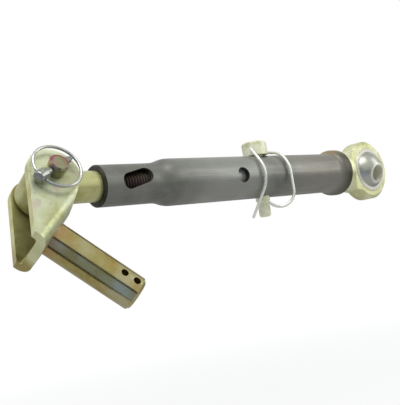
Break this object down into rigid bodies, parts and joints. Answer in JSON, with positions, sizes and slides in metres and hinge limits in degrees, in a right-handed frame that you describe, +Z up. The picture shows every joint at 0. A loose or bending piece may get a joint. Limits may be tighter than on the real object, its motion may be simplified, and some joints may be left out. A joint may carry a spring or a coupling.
{
  "type": "tractor lower link stabilizer",
  "caption": "Telescopic stabilizer with a ball end, a locking pin with a wire bail, a threaded adjusting rod and a bent yoke that carries a cross-drilled link pin.",
  "frame": {"origin": "centre of the ball, on the axis of its bore", "axes": "+X along the tube from the yoke to the ball end; -Y the side the bail's legs lie on; +Z up, towards the locking pin's head"},
  "size_m": [0.5024, 0.0916, 0.1398],
  "materials": {
    "grey_zinc": "dull grey zinc",
    "yellow_zinc": "yellow chromated zinc",
    "gold_zinc": "turned, yellow chromated zinc",
    "spring_wire": "bright zinc",
    "race_steel": "turned bright",
    "ball_chrome": "polished"
  },
  "bodies": {
    "ball": {"ball": "ball_chrome"},
    "eye_end": {"ball_race": "race_steel", "ball_eye": "yellow_zinc", "inner_tube": "grey_zinc"},
    "tube": {"outer_tube": "grey_zinc", "locking_pin": "yellow_zinc"},
    "bail": {"wire_bail": "spring_wire"},
    "rod": {"adjuster_rod": "yellow_zinc"},
    "yoke": {"yoke": "yellow_zinc", "link_pin": "gold_zinc", "pivot_pin": "gold_zinc", "linch_pin": "spring_wire"},
    "ring": {"linch_ring": "spring_wire"}
  },
  "joints": [
    {"name": "ball_swing", "type": "hinge", "parent": "ball", "child": "eye_end", "pos_m": [0, 0, 0], "axis": [0, 0, 1], "range_deg": [-15, 15]},
    {"name": "tube_float", "type": "slide", "parent": "eye_end", "child": "tube", "axis": [-1, 0, 0], "range_m": [0, 0.03]},
    {"name": "bail_hinge", "type": "hinge", "parent": "tube", "child": "bail", "pos_m": [-0.1825, 0, 0.029], "axis": [-0.8572, -0.515, 0], "range_deg": [0, 120]},
    {"name": "rod_adjust", "type": "slide", "parent": "tube", "child": "rod", "axis": [-1, 0, 0], "range_m": [0, 0.035]},
    {"name": "yoke_hinge", "type": "hinge", "parent": "rod", "child": "yoke", "pos_m": [-0.4314, 0, 0], "axis": [0, -0.891, 0.454], "range_deg": [-200, 45]},
    {"name": "ring_hinge", "type": "hinge", "parent": "yoke", "child": "ring", "pos_m": [-0.44788, -0.03019, 0.00596], "axis": [0.454, -0.4045, -0.7939], "range_deg": [0, 150]}
  ]
}
